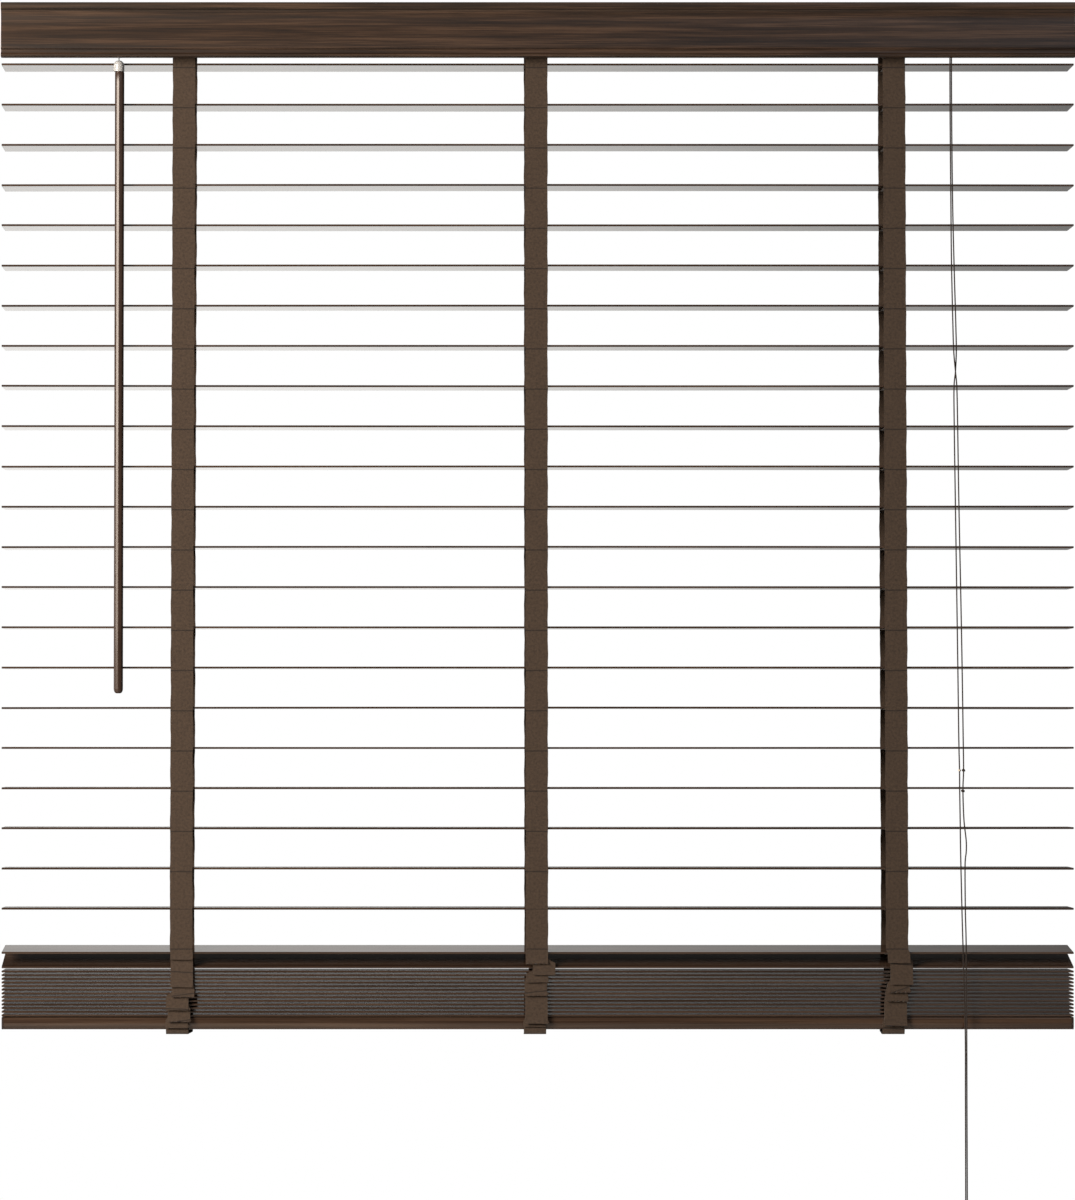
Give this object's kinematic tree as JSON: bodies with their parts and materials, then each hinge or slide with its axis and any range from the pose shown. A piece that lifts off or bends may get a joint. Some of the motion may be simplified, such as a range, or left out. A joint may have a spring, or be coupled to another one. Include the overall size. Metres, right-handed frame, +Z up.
{
  "type": "venetian blind",
  "caption": "Wide horizontal-slat blind on woven ladder tapes, with headrail, moulded valance, tilt wand, pull cords and bottom rail, part raised.",
  "frame": {"origin": "on the ceiling plane, midway between the four screw holes in the tops of the two brackets", "axes": "+X along the slats to the cord side, -Y into the room, +Z up"},
  "size_m": [1.2, 0.0815, 1.477],
  "materials": {
    "painted_wood": "satin lacquer",
    "foiled_valance": "wood-grain foil",
    "enamelled_steel": "enamel",
    "zinc_steel": "zinc plated",
    "ivory_plastic": "moulded",
    "brown_plastic": "moulded",
    "clear_plastic": "clear",
    "dark_wand": "lacquered",
    "dark_cord": "braided",
    "woven_tape": "woven"
  },
  "bodies": {
    "root": {"headrail": "enamelled_steel", "headrail_end_caps": "brown_plastic", "mounting_brackets": "zinc_steel", "valance": "foiled_valance", "valance_clips": "clear_plastic", "rod_supports": "ivory_plastic", "tilter_housing": "ivory_plastic", "cord_lock": "ivory_plastic", "lift_cords": "dark_cord", "pull_cords": "dark_cord", "lower_tapes": "woven_tape"},
    "tilt_shaft": {"tilt_rod": "zinc_steel", "tape_rockers": "zinc_steel", "tilter_gear": "ivory_plastic"},
    "front_tapes": {"front_tapes": "woven_tape"},
    "back_tapes": {"back_tapes": "woven_tape"},
    "tilter_worm": {"tilter_worm": "zinc_steel"},
    "wand_hook": {"wand_hook": "zinc_steel"},
    "wand": {"wand": "dark_wand", "wand_cap": "clear_plastic"},
    "bottom_rail": {"bottom_rail": "painted_wood", "bottom_rail_fittings": "brown_plastic"},
    "tassel": {"tassel": "painted_wood"},
    "slat_01": {"slat_01": "painted_wood"},
    "slat_02": {"slat_02": "painted_wood"},
    "slat_03": {"slat_03": "painted_wood"},
    "slat_04": {"slat_04": "painted_wood"},
    "slat_05": {"slat_05": "painted_wood"},
    "slat_06": {"slat_06": "painted_wood"},
    "slat_07": {"slat_07": "painted_wood"},
    "slat_08": {"slat_08": "painted_wood"},
    "slat_09": {"slat_09": "painted_wood"},
    "slat_10": {"slat_10": "painted_wood"},
    "slat_11": {"slat_11": "painted_wood"},
    "slat_12": {"slat_12": "painted_wood"},
    "slat_13": {"slat_13": "painted_wood"},
    "slat_14": {"slat_14": "painted_wood"},
    "slat_15": {"slat_15": "painted_wood"},
    "slat_16": {"slat_16": "painted_wood"},
    "slat_17": {"slat_17": "painted_wood"},
    "slat_18": {"slat_18": "painted_wood"},
    "slat_19": {"slat_19": "painted_wood"},
    "slat_20": {"slat_20": "painted_wood"},
    "slat_21": {"slat_21": "painted_wood"},
    "slat_22": {"slat_22": "painted_wood"},
    "slat_23": {"slat_23": "painted_wood"},
    "slat_24": {"slat_24": "painted_wood"},
    "slat_25": {"slat_25": "painted_wood"},
    "slat_26": {"slat_26": "painted_wood"},
    "slat_27": {"slat_27": "painted_wood"},
    "slat_28": {"slat_28": "painted_wood"},
    "slat_29": {"slat_29": "painted_wood"},
    "slat_30": {"slat_30": "painted_wood"},
    "slat_31": {"slat_31": "painted_wood"},
    "slat_32": {"slat_32": "painted_wood"},
    "slat_33": {"slat_33": "painted_wood"},
    "slat_34": {"slat_34": "painted_wood"},
    "slat_35": {"slat_35": "painted_wood"},
    "slat_36": {"slat_36": "painted_wood"},
    "slat_37": {"slat_37": "painted_wood"}
  },
  "joints": [
    {"name": "tilt", "type": "hinge", "parent": "root", "child": "tilt_shaft", "pos_m": [0, 0, -0.027], "axis": [1, 0, 0], "range_deg": [-65, 65]},
    {"name": "front_tapes_hang", "type": "hinge", "parent": "tilt_shaft", "child": "front_tapes", "pos_m": [0, -0.0276, -0.027], "axis": [1, 0, 0], "range_deg": [-65, 65]},
    {"name": "back_tapes_hang", "type": "hinge", "parent": "tilt_shaft", "child": "back_tapes", "pos_m": [0, 0.0276, -0.027], "axis": [1, 0, 0], "range_deg": [-65, 65]},
    {"name": "worm_spin", "type": "hinge", "parent": "root", "child": "tilter_worm", "pos_m": [-0.468, -0.03398, -0.0546], "axis": [0, -0.5736, -0.8192], "range_deg": [-1170, 1170]},
    {"name": "wand_swing", "type": "hinge", "parent": "root", "child": "wand_hook", "pos_m": [-0.468, -0.03398, -0.0546], "axis": [1, 0, 0], "range_deg": [-20, 0]},
    {"name": "wand_spin", "type": "hinge", "parent": "wand_hook", "child": "wand", "pos_m": [-0.468, -0.03398, -0.07], "axis": [0, 0, -1], "range_deg": [-1170, 1170]},
    {"name": "lift", "type": "slide", "parent": "root", "child": "bottom_rail", "axis": [0, 0, 1], "range_m": [-0.592, 0], "deforming": ["lower_tapes", "lift_cords", "pull_cords"]},
    {"name": "tassel_travel", "type": "slide", "parent": "root", "child": "tassel", "axis": [-0.0125, 0, 0.9999], "range_m": [0, 0.592]},
    {"name": "tilt_slat_01", "type": "hinge", "parent": "root", "child": "slat_01", "pos_m": [0, 0, -0.068], "axis": [1, 0, 0], "range_deg": [-65, 65]},
    {"name": "tilt_slat_02", "type": "hinge", "parent": "root", "child": "slat_02", "pos_m": [0, 0, -0.113], "axis": [1, 0, 0], "range_deg": [-65, 65]},
    {"name": "tilt_slat_03", "type": "hinge", "parent": "root", "child": "slat_03", "pos_m": [0, 0, -0.158], "axis": [1, 0, 0], "range_deg": [-65, 65]},
    {"name": "tilt_slat_04", "type": "hinge", "parent": "root", "child": "slat_04", "pos_m": [0, 0, -0.203], "axis": [1, 0, 0], "range_deg": [-65, 65]},
    {"name": "tilt_slat_05", "type": "hinge", "parent": "root", "child": "slat_05", "pos_m": [0, 0, -0.248], "axis": [1, 0, 0], "range_deg": [-65, 65]},
    {"name": "tilt_slat_06", "type": "hinge", "parent": "root", "child": "slat_06", "pos_m": [0, 0, -0.293], "axis": [1, 0, 0], "range_deg": [-65, 65]},
    {"name": "tilt_slat_07", "type": "hinge", "parent": "root", "child": "slat_07", "pos_m": [0, 0, -0.338], "axis": [1, 0, 0], "range_deg": [-65, 65]},
    {"name": "tilt_slat_08", "type": "hinge", "parent": "root", "child": "slat_08", "pos_m": [0, 0, -0.383], "axis": [1, 0, 0], "range_deg": [-65, 65]},
    {"name": "tilt_slat_09", "type": "hinge", "parent": "root", "child": "slat_09", "pos_m": [0, 0, -0.428], "axis": [1, 0, 0], "range_deg": [-65, 65]},
    {"name": "tilt_slat_10", "type": "hinge", "parent": "root", "child": "slat_10", "pos_m": [0, 0, -0.473], "axis": [1, 0, 0], "range_deg": [-65, 65]},
    {"name": "tilt_slat_11", "type": "hinge", "parent": "root", "child": "slat_11", "pos_m": [0, 0, -0.518], "axis": [1, 0, 0], "range_deg": [-65, 65]},
    {"name": "tilt_slat_12", "type": "hinge", "parent": "root", "child": "slat_12", "pos_m": [0, 0, -0.563], "axis": [1, 0, 0], "range_deg": [-65, 65]},
    {"name": "tilt_slat_13", "type": "hinge", "parent": "root", "child": "slat_13", "pos_m": [0, 0, -0.608], "axis": [1, 0, 0], "range_deg": [-65, 65]},
    {"name": "tilt_slat_14", "type": "hinge", "parent": "root", "child": "slat_14", "pos_m": [0, 0, -0.653], "axis": [1, 0, 0], "range_deg": [-65, 65]},
    {"name": "tilt_slat_15", "type": "hinge", "parent": "root", "child": "slat_15", "pos_m": [0, 0, -0.698], "axis": [1, 0, 0], "range_deg": [-65, 65]},
    {"name": "tilt_slat_16", "type": "hinge", "parent": "root", "child": "slat_16", "pos_m": [0, 0, -0.743], "axis": [1, 0, 0], "range_deg": [-65, 65]},
    {"name": "tilt_slat_17", "type": "hinge", "parent": "root", "child": "slat_17", "pos_m": [0, 0, -0.788], "axis": [1, 0, 0], "range_deg": [-65, 65]},
    {"name": "tilt_slat_18", "type": "hinge", "parent": "root", "child": "slat_18", "pos_m": [0, 0, -0.833], "axis": [1, 0, 0], "range_deg": [-65, 65]},
    {"name": "tilt_slat_19", "type": "hinge", "parent": "root", "child": "slat_19", "pos_m": [0, 0, -0.878], "axis": [1, 0, 0], "range_deg": [-65, 65]},
    {"name": "tilt_slat_20", "type": "hinge", "parent": "root", "child": "slat_20", "pos_m": [0, 0, -0.923], "axis": [1, 0, 0], "range_deg": [-65, 65]},
    {"name": "tilt_slat_21", "type": "hinge", "parent": "root", "child": "slat_21", "pos_m": [0, 0, -0.968], "axis": [1, 0, 0], "range_deg": [-65, 65]},
    {"name": "tilt_slat_22", "type": "hinge", "parent": "root", "child": "slat_22", "pos_m": [0, 0, -1.013], "axis": [1, 0, 0], "range_deg": [-65, 65]},
    {"name": "level_slat_23", "type": "hinge", "parent": "root", "child": "slat_23", "pos_m": [0, 0, -1.0596], "axis": [1, 0, 0], "range_deg": [-7.1, 0]},
    {"name": "level_slat_24", "type": "hinge", "parent": "root", "child": "slat_24", "pos_m": [0, -0.12705, -1.0874], "axis": [1, 0, 0], "range_deg": [-14.1, 0]},
    {"name": "drop_slat_25", "type": "slide", "parent": "root", "child": "slat_25", "axis": [0, 0, 1], "range_m": [-0.0657, 0]},
    {"name": "drop_slat_26", "type": "slide", "parent": "root", "child": "slat_26", "axis": [0, 0, 1], "range_m": [-0.1066, 0]},
    {"name": "drop_slat_27", "type": "slide", "parent": "root", "child": "slat_27", "axis": [0, 0, 1], "range_m": [-0.1475, 0]},
    {"name": "drop_slat_28", "type": "slide", "parent": "root", "child": "slat_28", "axis": [0, 0, 1], "range_m": [-0.1884, 0]},
    {"name": "drop_slat_29", "type": "slide", "parent": "root", "child": "slat_29", "axis": [0, 0, 1], "range_m": [-0.2293, 0]},
    {"name": "drop_slat_30", "type": "slide", "parent": "root", "child": "slat_30", "axis": [0, 0, 1], "range_m": [-0.2702, 0]},
    {"name": "drop_slat_31", "type": "slide", "parent": "root", "child": "slat_31", "axis": [0, 0, 1], "range_m": [-0.3111, 0]},
    {"name": "drop_slat_32", "type": "slide", "parent": "root", "child": "slat_32", "axis": [0, 0, 1], "range_m": [-0.352, 0]},
    {"name": "drop_slat_33", "type": "slide", "parent": "root", "child": "slat_33", "axis": [0, 0, 1], "range_m": [-0.3929, 0]},
    {"name": "drop_slat_34", "type": "slide", "parent": "root", "child": "slat_34", "axis": [0, 0, 1], "range_m": [-0.4338, 0]},
    {"name": "drop_slat_35", "type": "slide", "parent": "root", "child": "slat_35", "axis": [0, 0, 1], "range_m": [-0.4747, 0]},
    {"name": "drop_slat_36", "type": "slide", "parent": "root", "child": "slat_36", "axis": [0, 0, 1], "range_m": [-0.5156, 0]},
    {"name": "drop_slat_37", "type": "slide", "parent": "root", "child": "slat_37", "axis": [0, 0, 1], "range_m": [-0.5565, 0]}
  ],
  "couplings": [
    {"joint": "front_tapes_hang", "follows": "tilt", "ratio": -1},
    {"joint": "back_tapes_hang", "follows": "tilt", "ratio": -1},
    {"joint": "worm_spin", "follows": "tilt", "ratio": 18},
    {"joint": "wand_spin", "follows": "tilt", "ratio": 18},
    {"joint": "tassel_travel", "follows": "lift", "ratio": -1},
    {"joint": "tilt_slat_01", "follows": "tilt", "ratio": 1},
    {"joint": "tilt_slat_02", "follows": "tilt", "ratio": 1},
    {"joint": "tilt_slat_03", "follows": "tilt", "ratio": 1},
    {"joint": "tilt_slat_04", "follows": "tilt", "ratio": 1},
    {"joint": "tilt_slat_05", "follows": "tilt", "ratio": 1},
    {"joint": "tilt_slat_06", "follows": "tilt", "ratio": 1},
    {"joint": "tilt_slat_07", "follows": "tilt", "ratio": 1},
    {"joint": "tilt_slat_08", "follows": "tilt", "ratio": 1},
    {"joint": "tilt_slat_09", "follows": "tilt", "ratio": 1},
    {"joint": "tilt_slat_10", "follows": "tilt", "ratio": 1},
    {"joint": "tilt_slat_11", "follows": "tilt", "ratio": 1},
    {"joint": "tilt_slat_12", "follows": "tilt", "ratio": 1},
    {"joint": "tilt_slat_13", "follows": "tilt", "ratio": 1},
    {"joint": "tilt_slat_14", "follows": "tilt", "ratio": 1},
    {"joint": "tilt_slat_15", "follows": "tilt", "ratio": 1},
    {"joint": "tilt_slat_16", "follows": "tilt", "ratio": 1},
    {"joint": "tilt_slat_17", "follows": "tilt", "ratio": 1},
    {"joint": "tilt_slat_18", "follows": "tilt", "ratio": 1},
    {"joint": "tilt_slat_19", "follows": "tilt", "ratio": 1},
    {"joint": "tilt_slat_20", "follows": "tilt", "ratio": 1},
    {"joint": "tilt_slat_21", "follows": "tilt", "ratio": 1},
    {"joint": "tilt_slat_22", "follows": "tilt", "ratio": 1},
    {"joint": "level_slat_23", "follows": "lift", "rad_per_m": 0.20637},
    {"joint": "level_slat_24", "follows": "lift", "rad_per_m": 0.41275},
    {"joint": "drop_slat_25", "follows": "lift", "ratio": 0.10929},
    {"joint": "drop_slat_26", "follows": "lift", "ratio": 0.17838},
    {"joint": "drop_slat_27", "follows": "lift", "ratio": 0.24747},
    {"joint": "drop_slat_28", "follows": "lift", "ratio": 0.31655},
    {"joint": "drop_slat_29", "follows": "lift", "ratio": 0.38564},
    {"joint": "drop_slat_30", "follows": "lift", "ratio": 0.45473},
    {"joint": "drop_slat_31", "follows": "lift", "ratio": 0.52382},
    {"joint": "drop_slat_32", "follows": "lift", "ratio": 0.59291},
    {"joint": "drop_slat_33", "follows": "lift", "ratio": 0.66199},
    {"joint": "drop_slat_34", "follows": "lift", "ratio": 0.73108},
    {"joint": "drop_slat_35", "follows": "lift", "ratio": 0.80017},
    {"joint": "drop_slat_36", "follows": "lift", "ratio": 0.86926},
    {"joint": "drop_slat_37", "follows": "lift", "ratio": 0.93834}
  ]
}
